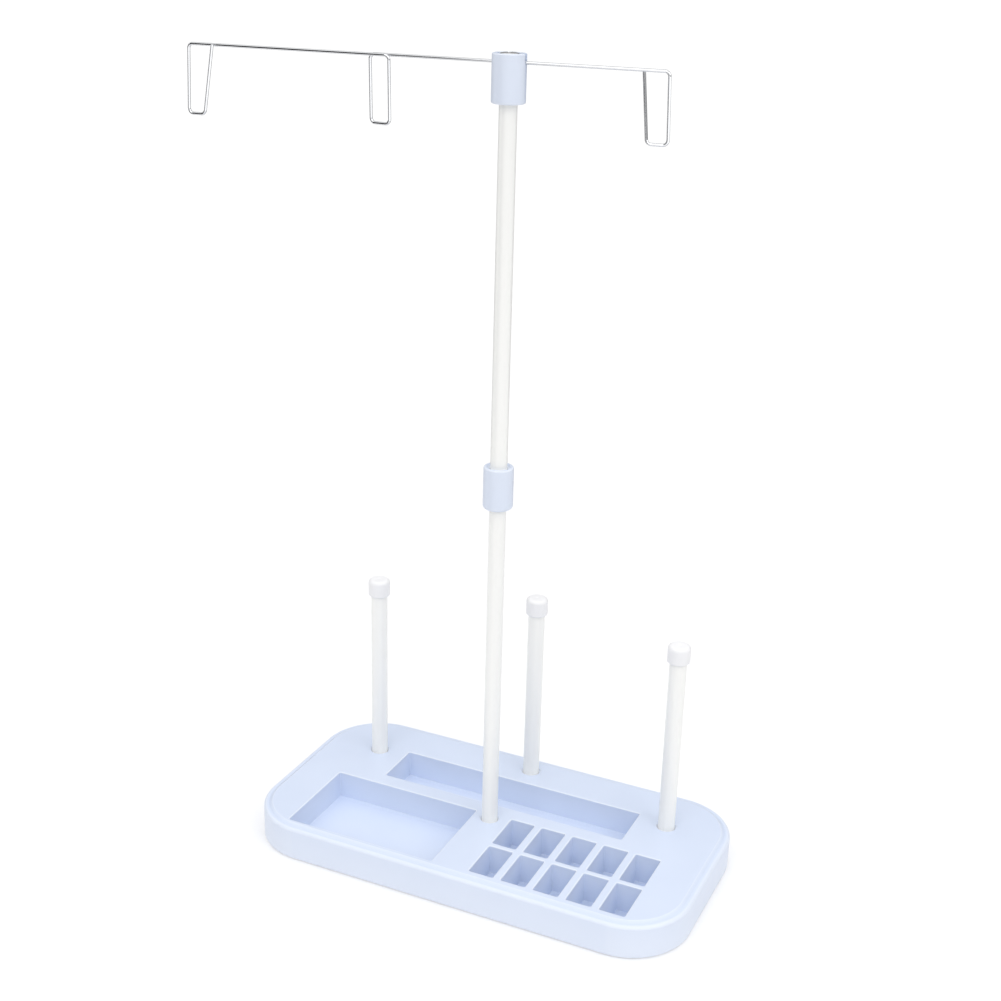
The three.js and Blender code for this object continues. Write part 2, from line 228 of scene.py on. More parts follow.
def shade(piece):
    """Smooth faces, sharp edges past a limit, and normals weighted by face area."""
    piece.data.shade_smooth()
    piece.data.set_sharp_from_angle(angle=SHARP)
    step = piece.modifiers.new("normals", "WEIGHTED_NORMAL")
    step.keep_sharp = True
    settle(piece)


# %% [markdown]
# ## Nodes and colours
#
# A material is a small graph of nodes. One function adds a node, sets its own properties, and
# fills its inputs with values or with links from other nodes. Colours are written as the hex
# values that a colour picker shows, and shaders need linear light, so one function converts.

# %% Nodes and colours


def linear(hex_colour):
    """sRGB hex to linear: c / 12.92 when dark, otherwise ((c + 0.055) / 1.055) ** 2.4."""
    c = np.array([int(hex_colour[i : i + 2], 16) for i in (1, 3, 5)]) / 255
    rgb = np.where(c <= 0.04045, c / 12.92, ((c + 0.055) / 1.055) ** 2.4)
    return (*rgb.tolist(), 1.0)


def add_node(tree, kind, inputs=None, output=None, **settings):
    """Adds one node and returns its named output, or its first. Settings are the node's own
    properties, and inputs are values for its sockets or other nodes' outputs to link to them."""
    node = tree.nodes.new(kind)
    for name, value in settings.items():
        setattr(node, name, value)
    for name, value in (inputs or {}).items():
        socket = next(s for s in node.inputs if s.enabled and s.name == name)
        if isinstance(value, bpy.types.NodeSocket):
            tree.links.new(value, socket)
        else:
            socket.default_value = value
    shown = [s for s in node.outputs if s.enabled and output in (None, s.name)]
    return shown[0] if shown else None


def start_material(name):
    """An empty material and its node tree."""
    material = bpy.data.materials.new(name)
    material.use_nodes = True
    material.node_tree.nodes.clear()
    return material, material.node_tree


def finish_material(tree, inputs):
    """Ends a material in one Principled shader."""
    shader = add_node(tree, "ShaderNodeBsdfPrincipled", inputs)
    add_node(tree, "ShaderNodeOutputMaterial", {"Surface": shader})


def noise(tree, place, size, detail):
    """Noise whose features are about this many millimetres across."""
    inputs = {"Vector": place, "Scale": 1 / (size * MM), "Detail": detail}
    return add_node(tree, "ShaderNodeTexNoise", inputs)


print("pale blue in linear light:", np.round(linear("#D7E1F4")[:3], 3))

# %% [markdown]
# ## Finish: pale blue moulded ABS
#
# The base, the coupling and the hub are injection-moulded ABS, coloured through with a pale
# blue masterbatch. The steel mould was spark-eroded and then polished, so the skin is a soft
# satin with a fine grain, and the gloss varies gently where the mould was polished more. The
# pigment also flows a little unevenly, and convex edges are painted lighter: a painted highlight.
# The true grain is about 0.05 mm, too fine to show, so it is drawn at 0.35 mm.

# %% Pale blue moulded ABS
ABS_IOR = 1.53
ABS_FLOW_MM = 38.0
ABS_POLISH_MM = 9.0
ABS_GRAIN_MM = 0.35
EDGE_GAIN = 7.0
EDGE_PAINTED_HIGHLIGHT = 0.8


def moulded_abs():
    """Colour drifts with the flow, gloss with the polish, and bump with the grain."""
    material, tree = start_material("pale_blue_moulded_abs")
    place = add_node(tree, "ShaderNodeTexCoord", output="Object")
    sizes = (ABS_FLOW_MM, 2.0), (ABS_POLISH_MM, 4.0), (ABS_GRAIN_MM, 2.0)
    flow, polish, grain = (noise(tree, place, size, detail) for size, detail in sizes)
    edge = add_node(tree, "ShaderNodeAttribute", output="Fac", attribute_name="edge")
    colours = {"Factor": flow, "A": linear("#CFDAEF"), "B": linear("#D7E1F4")}
    body = add_node(tree, "ShaderNodeMix", colours, data_type="RGBA")
    # Painted highlight: convex points, read from the edge layer, are mixed towards a near-white
    # blue.
    painted_highlight = add_node(tree, "ShaderNodeMapRange", {"Value": edge, "To Max": EDGE_PAINTED_HIGHLIGHT}, clamp=True)
    colours = {"Factor": painted_highlight, "A": body, "B": linear("#F6F9FE")}
    colour = add_node(tree, "ShaderNodeMix", colours, data_type="RGBA")
    gloss = {"Value": polish, "From Min": 0.3, "From Max": 0.7, "To Min": 0.34, "To Max": 0.46}
    roughness = add_node(tree, "ShaderNodeMapRange", gloss)
    relief = {"Height": grain, "Strength": 0.35, "Distance": 0.012 * MM}
    finish_material(
        tree,
        {
            "Base Color": colour,
            "Roughness": roughness,
            "IOR": ABS_IOR,
            "Normal": add_node(tree, "ShaderNodeBump", relief),
        },
    )
    return material


pale_blue = moulded_abs()
print(pale_blue.name, "has", len(pale_blue.node_tree.nodes), "nodes")


def mark_edges(piece):
    """Stores how sharply convex each vertex is: the mean, over its edges, of how far the
    neighbour drops below the vertex's tangent plane, per length of the edge, times a gain."""
    mesh = piece.data
    count = len(mesh.vertices)
    place = np.empty(count * 3, np.float32)
    mesh.vertices.foreach_get("co", place)
    normal = np.empty(count * 3, np.float32)
    mesh.vertex_normals.foreach_get("vector", normal)
    ends = np.empty(len(mesh.edges) * 2, np.int32)
    mesh.edges.foreach_get("vertices", ends)
    place, normal, ends = place.reshape(-1, 3), normal.reshape(-1, 3), ends.reshape(-1, 2)
    total, used = np.zeros(count), np.zeros(count)
    for here, there in (ends.T, ends.T[::-1]):
        step = place[there] - place[here]
        drop = -(step * normal[here]).sum(axis=1) / np.linalg.norm(step, axis=1)
        np.add.at(total, here, drop)
        np.add.at(used, here, 1)
    edge = np.clip(EDGE_GAIN * total / np.maximum(used, 1), 0, 1)
    layer = mesh.attributes.new("edge", "FLOAT", "POINT")
    layer.data.foreach_set("value", edge.astype(np.float32))
    return edge


# %% [markdown]
# ## The moulded base
#
# The base is one thin-walled moulding, open underneath. Its top is a flat plateau with a step
# down to a narrow rim all round. Two trays and ten bobbin slots sink into the plateau, and four
# round sockets hold the mast and the pins. Three profiles make everything seen from above. One
# goes from the plateau over the rim and down the outer wall, one from a pocket's rounded lip
# down its drafted wall into the floor, and one down a socket. Each starts with a narrow level
# strip, which keeps the painted highlight on the lip from spreading. The plateau is then filled
# as one flat face with holes. A pocket is the opening in the record, plus the room that was left
# around it.

# %% Sizes of the base
base_low, base_high = box_mm("base_tray")
TOP = base_high[2]
BOTTOM = base_low[2]
BASE_CORNER = 31.4
RIM_START = 4.7
RIM_DROP = 1.0
RIM_SLOPE = 30.0
RIM_CONVEX = 1.1
RIM_CONCAVE = 1.6
RIM_ROUND = 1.6
FOOT_ROUND = 0.45
LEVEL = 0.2
POCKET_CORNER = 0.85
POCKET_LIP = 0.55
POCKET_FOOT = 0.3
DRAFT = 0.5
TRAY_ROOM = 1.2
SLOT_ROOM = 0.8
FLOOR_ROOM = 0.6

openings = {
    o["name"]: np.array(o["box_m"]) / MM for o in frame["record"]["physics"]["openings"]
}


def mouth_of(name, room, room_below):
    """A pocket's mouth on the plateau and its floor: its opening plus the room around it."""
    (x0, y0, z0), (x1, y1, _) = openings[name]
    return x0 - room, x1 + room, y0 - room, y1 + room, z0 - room_below


trays = [mouth_of(n, TRAY_ROOM, FLOOR_ROOM) for n in ("big_tray", "long_tray")]
slot_names = sorted(n for n in openings if n.startswith("bobbin_slot"))
slots = [mouth_of(n, SLOT_ROOM, FLOOR_ROOM) for n in slot_names]
print(len(trays), "trays and", len(slots), "bobbin slots; plateau at", round(TOP, 2), "mm")

# %% Everything seen from above
SOCKET_DEPTH = 14.0
SOCKET_LIP = 0.2
SOCKET_PLAY = 0.1
SOCKET_MOUTH = 0.75
SOCKET_CONE = 0.9


def pocket(mouth):
    """A pocket wall: a convex quarter circle at the lip, a drafted wall, a concave one below."""
    x0, x1, y0, y1, floor = mouth
    foot = -DRAFT - POCKET_FOOT
    profile = [
        (POCKET_LIP + LEVEL, TOP),
        *fillet((POCKET_LIP, TOP - POCKET_LIP), POCKET_LIP, 90, 180, 4),
        *fillet((foot, floor + POCKET_FOOT), POCKET_FOOT, 0, -90, 4),
    ]
    return carry(rounded_rectangle(x0, x1, y0, y1, POCKET_CORNER, 5), profile)


def soft_step(start, drop, convex, concave, slope):
    """A soft step down from the plateau: a convex arc, a straight slope and a concave arc. The
    two arcs fall (convex + concave) * (1 - cos slope), and the straight part falls the rest."""
    c, s = math.cos(math.radians(slope)), math.sin(math.radians(slope))
    straight = (drop - (convex + concave) * (1 - c)) / s
    end = start + (convex + concave) * s + straight * c
    return [
        *fillet((start, TOP - convex), convex, 90, 90 - slope, 4),
        *fillet((end, TOP - drop + concave), concave, 270 - slope, 270, 5),
    ]


def socket(tube_node):
    """A socket: a small rounded lip, a cone that leads the tube in, a bore and a flat floor."""
    low, high = box_mm(tube_node)
    radius = (high[0] - low[0]) / 2
    lip, bore = radius + SOCKET_MOUTH + SOCKET_LIP, radius + SOCKET_PLAY
    profile = [
        (lip + LEVEL, TOP),
        *fillet((lip, TOP - SOCKET_LIP), SOCKET_LIP, 90, 150, 3),
        (bore, TOP - SOCKET_CONE),
        (bore, TOP - SOCKET_DEPTH),
    ]
    return carry(circle(*(low + high)[:2] / 2), profile)


outer = rounded_rectangle(
    base_low[0], base_high[0], base_low[1], base_high[1], BASE_CORNER, 24
)
ledge = TOP - RIM_DROP
rim_profile = [
    (-RIM_START - LEVEL, TOP),
    *soft_step(-RIM_START, RIM_DROP, RIM_CONVEX, RIM_CONCAVE, RIM_SLOPE),
    *fillet((-RIM_ROUND, ledge - RIM_ROUND), RIM_ROUND, 90, 0, 8),
    *fillet((-FOOT_ROUND, BOTTOM + FOOT_ROUND), FOOT_ROUND, 0, -90, 4),
]
pins = ("spool_pin_left", "spool_pin_middle", "spool_pin_right")
seen_from_above = [
    carry(outer, rim_profile),
    *(pocket(m) for m in (*trays, *slots)),
    *(socket(n) for n in (*pins, "lower_mast_tube")),
]
base = closed_mesh("moulded_base", seen_from_above, flat_at=TOP)
print("before the underside is hollowed:", len(base.data.polygons), "faces")

# %% [markdown]
# ## The hollow underside
#
# A moulding has to be about as thick everywhere, or it sinks and warps as it cools. So the base
# is a skin, with a shell round each pocket, a boss round each socket and pad, and a few ribs.
# The open space is built first: a slab inside the outer wall, less everything that hangs down
# into it. Then that space is cut out of the base. Booleans suit this, since the shells, bosses
# and ribs run into each other.

# %% The hollow underside
WALL = 2.4
SKIN = 2.2
SHELL = 2.0
SLOT_FLOOR = 1.6
SOCKET_WALL = 2.4
SOCKET_FLOOR = 2.0
PAD_WALL = 1.2
GLUE = 0.1
RIB = 1.6
RIB_BOTTOM = 6.0
RIBS_ACROSS = (-75.0, -38.0, 38.0, 75.0)
RIB_ALONG = 46.0
BELOW = 1.0


def block(x0, x1, y0, y1, z0, z1, corner=0.6):
    """A block with slightly rounded upright edges."""
    return closed_mesh(
        "block", [carry(rounded_rectangle(x0, x1, y0, y1, corner, 3), [(0, z0), (0, z1)])]
    )


def post(x, y, radius, z0, z1):
    """A round boss: a straight profile carried round a circle."""
    return closed_mesh("post", [carry(circle(x, y, 48), [(radius, z0), (radius, z1)])])


def shell_round(mouths, wall, floor):
    """The block of plastic that surrounds a group of pockets."""
    x0, y0 = (min(m[i] for m in mouths) - wall for i in (0, 2))
    x1, y1 = (max(m[i] for m in mouths) + wall for i in (1, 3))
    return block(x0, x1, y0, y1, min(m[4] for m in mouths) - floor, TOP)


def boss_round(node, wall, bottom):
    """The boss round a tube or over a pad, centred on that node."""
    low, high = box_mm(node)
    x, y = (low + high)[:2] / 2
    return post(x, y, (high[0] - low[0]) / 2 + wall, bottom, TOP)


inside = rounded_rectangle(
    base_low[0] + WALL,
    base_high[0] - WALL,
    base_low[1] + WALL,
    base_high[1] - WALL,
    BASE_CORNER - WALL,
    24,
)
space = closed_mesh(
    "space", [carry(inside, [(0, BOTTOM - BELOW), (0, TOP - RIM_DROP - SKIN)])]
)
pads = sorted(n for n in frame["nodes"] if n.startswith("foot_pad"))
pad_top = box_mm(pads[0])[1][2]
hanging = [
    *(shell_round([m], SHELL, SHELL) for m in trays),
    shell_round(slots, SHELL, SLOT_FLOOR),
    *(
        boss_round(n, SOCKET_WALL, TOP - SOCKET_DEPTH - SOCKET_FLOOR)
        for n in (*pins, "lower_mast_tube")
    ),
    *(boss_round(n, PAD_WALL, pad_top + GLUE) for n in pads),
    *(
        block(x - RIB / 2, x + RIB / 2, base_low[1], base_high[1], RIB_BOTTOM, TOP)
        for x in RIBS_ACROSS
    ),
    block(
        base_low[0], base_high[0], RIB_ALONG - RIB / 2, RIB_ALONG + RIB / 2, RIB_BOTTOM, TOP
    ),
]
for part in hanging:
    combine(space, part, "DIFFERENCE")
combine(base, space, "DIFFERENCE")
shade(base)
base.data.materials.clear()
base.data.materials.append(pale_blue)
# The edge layer marks convex points, and the pale blue finish paints them lighter as a painted
# highlight. The count below is of those points.
convex = mark_edges(base)
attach(base, "base")
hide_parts("base_tray")
print("the base has", len(base.data.polygons), "faces")
print("of its points,", int((convex > 0.3).sum()), "are on rubbed edges")

# %% [markdown]
# ## Finish: extruded tube, moulded caps and silicone pads
#
# The pins and the mast are extruded rigid plastic tube in a clean white. The die leaves very
# faint lines along the tube, and drawing it through the sizing sleeve leaves it glossy. Noise
# stretched along Z draws those lines. The caps are moulded in a softer white plastic with a
# satin skin. The pads are milky silicone, matt, and they let a little light in.

# %% White tube, white caps and silicone
PVC_IOR = 1.53
SOFT_PLASTIC_IOR = 1.5
TUBE_LINE_MM = 1.4
TUBE_STRETCH = 0.01
SCUFF_MM = 9.0


def extruded_tube():
    """Lines run along the tube, because height counts for almost nothing in the noise."""
    material, tree = start_material("white_extruded_pvc")
    place = add_node(tree, "ShaderNodeTexCoord", output="Object")
    stretch = {"Vector": place, "Scale": (1.0, 1.0, TUBE_STRETCH)}
    line = noise(tree, add_node(tree, "ShaderNodeMapping", stretch), TUBE_LINE_MM, 2.0)
    scuff = noise(tree, place, SCUFF_MM, 3.0)
    colours = {"Factor": line, "A": linear("#F6F6F4"), "B": linear("#FBFBF8")}
    gloss = {"Value": scuff, "From Min": 0.35, "From Max": 0.7, "To Min": 0.28, "To Max": 0.34}
    relief = {"Height": line, "Strength": 0.15, "Distance": 0.01 * MM}
    finish_material(
        tree,
        {
            "Base Color": add_node(tree, "ShaderNodeMix", colours, data_type="RGBA"),
            "Roughness": add_node(tree, "ShaderNodeMapRange", gloss),
            "IOR": PVC_IOR,
            "Normal": add_node(tree, "ShaderNodeBump", relief),
        },
    )
    return material


def grained_plastic(name, dark, light, gloss_range, grain_mm, depth_mm, light_depth_mm=0.0):
    """A moulded skin: two near colours, a gloss that drifts, and a fine grain in relief."""
    material, tree = start_material(name)
    place = add_node(tree, "ShaderNodeTexCoord", output="Object")
    drift = noise(tree, place, SCUFF_MM, 3.0)
    grain = noise(tree, place, grain_mm, 3.0)
    colours = {"Factor": drift, "A": linear(dark), "B": linear(light)}
    gloss = {"Value": drift, "From Min": 0.3, "From Max": 0.7}
    gloss.update({"To Min": gloss_range[0], "To Max": gloss_range[1]})
    relief = {"Height": grain, "Strength": 0.4, "Distance": depth_mm * MM}
    finish_material(
        tree,
        {
            "Base Color": add_node(tree, "ShaderNodeMix", colours, data_type="RGBA"),
            "Roughness": add_node(tree, "ShaderNodeMapRange", gloss),
            "IOR": SOFT_PLASTIC_IOR,
            "Subsurface Weight": 1.0 if light_depth_mm else 0.0,
            "Subsurface Radius": (1.0, 1.0, 1.0),
            "Subsurface Scale": light_depth_mm * MM,
            "Normal": add_node(tree, "ShaderNodeBump", relief),
        },
    )
    return material


white_tube = extruded_tube()
white_cap = grained_plastic(
    "white_moulded_polyethylene",
    dark="#F0F0F2",
    light="#F5F5F7",
    gloss_range=(0.36, 0.48),
    grain_mm=0.3,
    depth_mm=0.01,
)
silicone = grained_plastic(
    "milky_silicone_rubber",
    dark="#D3D6D9",
    light="#DDE0E3",
    gloss_range=(0.55, 0.75),
    grain_mm=0.4,
    depth_mm=0.02,
    light_depth_mm=1.5,
)
print("finishes so far:", [m.name for m in bpy.data.materials])

# %% [markdown]
# ## Turned pieces
#
# Pins, caps, tubes, the coupling and the pads are all round, so each is one closed profile
# carried round a circle. A profile is written from the inside bottom corner outwards and up,
# and every edge that a hand would feel gets a small chamfer or a fillet, as a real one has.

# %% Placing a finished piece


def finish_piece(piece, material, node, edges=False):
    """Shades a piece, gives it its finish, and lets it stand for its CAD node."""
    shade(piece)
    piece.data.materials.clear()
    piece.data.materials.append(material)
    # The edge layer drives the painted highlight that the pale blue finish puts on convex edges.
    if edges:
        mark_edges(piece)
    bodies = frame["record"]["behaviour"]["bodies"]
    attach(piece, next(body for body, members in bodies.items() if node in members))
    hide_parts(node)
    return piece


def around(node):
    """Where a turned node stands: its axis x and y, its radius, its bottom and its top, in mm."""
    low, high = box_mm(node)
    return (*((low + high)[:2] / 2), (high[0] - low[0]) / 2, low[2], high[2])


def turned(name, x, y, profile):
    """A closed profile of (radius, height) pairs, carried round a circle about (x, y)."""
    return closed_mesh(name, [carry(circle(x, y), [*profile, profile[0]])])


# %% Foot pads
PAD_FOOT, PAD_TOP = 0.5, 0.25

for node in pads:
    x, y, radius, bottom, top = around(node)
    profile = [
        (0, bottom),
        *fillet((radius - PAD_FOOT, bottom + PAD_FOOT), PAD_FOOT, -90, 0, 5),
        *fillet((radius - PAD_TOP, top - PAD_TOP), PAD_TOP, 0, 90, 3),
        (0, top),
    ]
    pad = turned(node.replace("foot_pad", "silicone_pad"), x, y, profile)
    finish_piece(pad, silicone, node)
print(len(pads), "pads, each", round(2 * radius, 1), "mm across")

# %% Tubes
CHAMFER = 0.35
PIN_BORE = 2.75
MAST_BORE = 2.5


def tube_piece(name, node, bore):
    """A cut length of tube: its wall's section is a rectangle with four chamfered corners."""
    x, y, radius, bottom, top = around(node)
    c = CHAMFER
    profile = [
        (bore, bottom + c),
        (bore + c, bottom),
        (radius - c, bottom),
        (radius, bottom + c),
        (radius, top - c),
        (radius - c, top),
        (bore + c, top),
        (bore, top - c),
    ]
    piece = turned(name, x, y, profile)
    return finish_piece(piece, white_tube, node)


for node in pins:
    tube_piece(node.replace("spool_pin", "pin_tube"), node, PIN_BORE)
tube_piece("mast_tube_lower", "lower_mast_tube", MAST_BORE)
tube_piece("mast_tube_upper", "upper_mast_tube", MAST_BORE)
print("the upper mast goes from and to", np.round(around("upper_mast_tube")[3:], 1), "mm")

# %% [markdown]
# ## Pin caps
#
# A cap is pushed over the top of each pin, so that a spool slips on without catching. It has a
# flat top, a generous round shoulder and a softened lower edge. A moulded cap keeps a tiny
# dimple where the plastic was fed in, so the middle of the top dips by a fifth of a millimetre.

# %% Pin caps
CAP_SHOULDER = 1.9
CAP_FOOT = 0.8
CAP_ROOF = 1.8
CAP_PLAY = 0.08
CAP_CHAMFER = 0.3
GATE_RADIUS, GATE_DEPTH = 1.1, 0.2

for node in sorted(n for n in frame["nodes"] if n.startswith("pin_cap")):
    x, y, radius, bottom, top = around(node)
    bore = around(node.replace("pin_cap", "spool_pin"))[2] + CAP_PLAY
    profile = [
        (0, top - CAP_ROOF),
        (bore - CAP_CHAMFER, top - CAP_ROOF),
        (bore, top - CAP_ROOF - CAP_CHAMFER),
        (bore, bottom + CAP_CHAMFER),
        (bore + CAP_CHAMFER, bottom),
        *fillet((radius - CAP_FOOT, bottom + CAP_FOOT), CAP_FOOT, -90, 0, 6),
        *fillet((radius - CAP_SHOULDER, top - CAP_SHOULDER), CAP_SHOULDER, 0, 90, 10),
        (GATE_RADIUS + 0.3, top),
        (GATE_RADIUS, top - 0.05),
        (GATE_RADIUS * 0.6, top - GATE_DEPTH),
        (0, top - GATE_DEPTH),
    ]
    cap = turned(node.replace("pin_cap", "cap"), x, y, profile)
    finish_piece(cap, white_cap, node)
print("cap:", round(2 * radius, 1), "mm across and", round(top - bottom, 1), "mm high")

# %% [markdown]
# ## The mast coupling
#
# The coupling joins the two lengths of mast. It grips the lower one, and the upper one drops
# into its dished mouth against a thin web half-way. The dish leads the tube in and leaves a
# shaded gap round it. Both ends have a rounded edge.

# %% Mast coupling
GRIP, PLAY = 0.05, 0.2
WEB, WEB_BORE = 0.6, 2.6
MOUTH, MOUTH_DEPTH, MOUTH_LIP = 5.4, 1.2, 0.25
SLEEVE_FOOT, SLEEVE_TOP, SLEEVE_CHAMFER = 1.5, 0.8, 0.3
x, y, radius, bottom, top = around("mast_coupling")
tube_radius = around("upper_mast_tube")[2]
middle = (bottom + top) / 2
lower_bore, upper_bore = tube_radius + GRIP, tube_radius + PLAY
profile = [
    (WEB_BORE, middle - WEB),
    (lower_bore, middle - WEB),
    (lower_bore, bottom + SLEEVE_CHAMFER),
    (lower_bore + SLEEVE_CHAMFER, bottom),
    *fillet((radius - SLEEVE_FOOT, bottom + SLEEVE_FOOT), SLEEVE_FOOT, -90, 0, 8),
    *fillet((radius - SLEEVE_TOP, top - SLEEVE_TOP), SLEEVE_TOP, 0, 90, 6),
    *fillet((MOUTH + MOUTH_LIP, top - MOUTH_LIP), MOUTH_LIP, 90, 135, 3),
    (upper_bore, top - MOUTH_DEPTH),
    (upper_bore, middle + WEB),
    (WEB_BORE, middle + WEB),
]
coupling = turned("coupling_sleeve", x, y, profile)
finish_piece(coupling, pale_blue, "mast_coupling", edges=True)
print("coupling:", round(2 * radius, 1), "mm across and", round(top - bottom, 1), "mm high")

# %% [markdown]
# ## The guide hub
#
# The hub is a turned shape with a bore for the mast below and a recess above. The wire lies
# across the recess in a slot that is open at the top, with a rounded bottom, as a U. The slot
# is cut by a long block whose section is that U. The whole guide is turned by 5 degrees.

# %% Guide hub
GUIDE_TURN = math.radians(5)
SLOT_WIDTH = 2.2
SEAT = 388.9
TUBE_STOP = 384.0
RECESS = 5.2
PILOT = 2.1
HUB_RADIUS = 7.5
HUB_PLAY = 0.08
HUB_CHAMFER = 0.4
HUB_FOOT, HUB_TOP, HUB_LIP = 0.9, 0.5, 0.25
SLOT_EDGE = 0.12
hub_low, hub_high = box_mm("guide_hub")
hub_x, hub_y = (hub_low + hub_high)[:2] / 2
bore = tube_radius + HUB_PLAY
profile = [
    (PILOT, TUBE_STOP),
    (bore, TUBE_STOP),
    (bore, hub_low[2] + HUB_CHAMFER),
    (bore + HUB_CHAMFER, hub_low[2]),
    *fillet((HUB_RADIUS - HUB_FOOT, hub_low[2] + HUB_FOOT), HUB_FOOT, -90, 0, 7),
    *fillet((HUB_RADIUS - HUB_TOP, hub_high[2] - HUB_TOP), HUB_TOP, 0, 90, 5),
    *fillet((RECESS + HUB_LIP, hub_high[2] - HUB_LIP), HUB_LIP, 90, 180, 3),
    (RECESS, SEAT),
    (PILOT, SEAT),
]
hub = turned("hub", hub_x, hub_y, profile)


def turn_about_mast(points):
    """Points in mm, turned about the hub's axis by the guide's angle:
    (x cos a - y sin a, x sin a + y cos a), and the height stays."""
    c, s = math.cos(GUIDE_TURN), math.sin(GUIDE_TURN)
    x, y, z = np.moveaxis(np.asarray(points, float), -1, 0)
    return np.stack([hub_x + x * c - y * s, hub_y + x * s + y * c, z], axis=-1)


def u_slot(length, width, bottom, top):
    """A block along X whose section is a U: a half circle below and straight sides above."""
    half = width / 2
    angle = np.linspace(math.pi, 2 * math.pi, 13)
    section = np.stack([half * np.cos(angle), bottom + half + half * np.sin(angle)], axis=-1)
    section = np.concatenate([section, [[half, top], [-half, top]]])
    ends = np.array([-length / 2, length / 2])
    grid = np.empty((2, len(section), 3))
    grid[..., 0] = ends[:, None]
    grid[..., 1:] = section[None]
    return closed_mesh("u_slot", [turn_about_mast(grid)])


combine(hub, u_slot(2.4 * HUB_RADIUS, SLOT_WIDTH, SEAT, hub_high[2] + 1), "DIFFERENCE")
rounding = hub.modifiers.new("edges", "BEVEL")
rounding.width, rounding.segments, rounding.limit_method = SLOT_EDGE * MM, 2, "ANGLE"
rounding.angle_limit = math.radians(50)
finish_piece(hub, pale_blue, "guide_hub", edges=True)
print("hub:", len(hub.data.polygons), "faces")

# %% [markdown]
# ## Finish: drawn wire and nickel plate
#
# The guide is bright drawn stainless wire. Drawing leaves fine streaks along it, and bending it
# over pegs leaves faint dull patches. Its pattern runs on a coordinate that follows the wire:
# two numbers say where a point lies round the wire, and the third is the distance along it.
# The screw and washer are nickel-plated steel, turned, so their fine rings go round the axis.

# %% Stainless wire and nickel plate
WIRE_STREAK_MM = 0.5
WIRE_STRETCH = 0.016
WIRE_DULL_MM = 6.0
TURNING_MM = 0.12


def drawn_stainless():
    """Streaks are noise that is stretched along the wire by a factor of about sixty."""
    material, tree = start_material("bright_drawn_stainless_wire")
    along = add_node(tree, "ShaderNodeAttribute", output="Vector", attribute_name="along")
    stretch = {"Vector": along, "Scale": (1.0, 1.0, WIRE_STRETCH)}
    streak = noise(tree, add_node(tree, "ShaderNodeMapping", stretch), WIRE_STREAK_MM, 2.0)
    dull = noise(tree, along, WIRE_DULL_MM, 3.0)
    colours = {"Factor": streak, "A": linear("#C4C5C8"), "B": linear("#DDDEE0")}
    gloss = {"Value": dull, "From Min": 0.35, "From Max": 0.7, "To Min": 0.06, "To Max": 0.14}
    relief = {"Height": streak, "Strength": 0.15, "Distance": 0.004 * MM}
    finish_material(
        tree,
        {
            "Base Color": add_node(tree, "ShaderNodeMix", colours, data_type="RGBA"),
            "Metallic": 1.0,
            "Roughness": add_node(tree, "ShaderNodeMapRange", gloss),
            "Normal": add_node(tree, "ShaderNodeBump", relief),
        },
    )
    return material


def nickel_plate():
    """Turning rings: one-dimensional noise over the distance from the axis."""
    material, tree = start_material("nickel_plated_steel")
    place = add_node(tree, "ShaderNodeTexCoord", output="Object")
    centred = add_node(
        tree,
        "ShaderNodeMapping",
        {"Vector": place, "Location": (-hub_x * MM, -hub_y * MM, 0.0), "Scale": (1.0, 1.0, 0.0)},
    )
    radius = add_node(
        tree, "ShaderNodeVectorMath", {"Vector": centred}, output="Value", operation="LENGTH"
    )
    ring = add_node(
        tree,
        "ShaderNodeTexNoise",
        {"W": radius, "Scale": 1 / (TURNING_MM * MM), "Detail": 2.0},
        noise_dimensions="1D",
    )
    colours = {"Factor": ring, "A": linear("#D6D6D7"), "B": linear("#E6E6E6")}
    gloss = {"Value": ring, "To Min": 0.26, "To Max": 0.4}
    relief = {"Height": ring, "Strength": 0.25, "Distance": 0.01 * MM}
    finish_material(
        tree,
        {
            "Base Color": add_node(tree, "ShaderNodeMix", colours, data_type="RGBA"),
            "Metallic": 1.0,
            "Roughness": add_node(tree, "ShaderNodeMapRange", gloss),
            "Normal": add_node(tree, "ShaderNodeBump", relief),
        },
    )
    return material


stainless = drawn_stainless()
nickel = nickel_plate()
print("finishes:", len(bpy.data.materials))

# %% [markdown]
# ## The wire guide
#
# One length of wire makes the whole guide. It is bent over pegs into three narrow eyes that
# hang from a bar, and at each eye it laps past itself. In the hub it makes a small detour round
# the screw. Corners say where the pegs are: a distance along the bar from the mast, an offset
# across it, a height above it and a bend radius. Each corner becomes an arc, and a circle is
# carried along the path. Since the wire lies almost in one upright plane, the plane's normal
# gives every ring the same reference.

# %% The wire's path
WIRE = 0.7
BEND = 2.2
LAP = 1.7
RIGHT_DROP = 29.7
MIDDLE_DROP = 29.2
LEFT_DROP = 30.8
SEAT_GAP = 0.1
BAR = SEAT + SEAT_GAP + WIRE
DETOUR_END, DETOUR_FLAT, DETOUR_OUT, DETOUR_BEND = 4.8, 2.6, 3.3, 0.9
corners = [
    (58.2, LAP, 0.2, BEND),
    (61.4, 0, -RIGHT_DROP, BEND),
    (70.6, 0, -RIGHT_DROP, BEND),
    (69.5, 0, 0, BEND),
    (DETOUR_END, 0, 0, DETOUR_BEND),
    (DETOUR_FLAT, -DETOUR_OUT, 0, DETOUR_BEND),
    (-DETOUR_FLAT, -DETOUR_OUT, 0, DETOUR_BEND),
    (-DETOUR_END, 0, 0, DETOUR_BEND),
    (-64.3, 0, 0, BEND),
    (-63.9, 0, -MIDDLE_DROP, BEND),
    (-54.3, -LAP, -MIDDLE_DROP, BEND),
    (-54.7, -LAP, 0, BEND),
    (-153.2, -LAP, 0, BEND),
    (-154.5, -LAP, -LEFT_DROP, BEND),
    (-146.4, -LAP, -LEFT_DROP, BEND),
    (-140.2, -2 * LAP, 0.4, BEND),
]


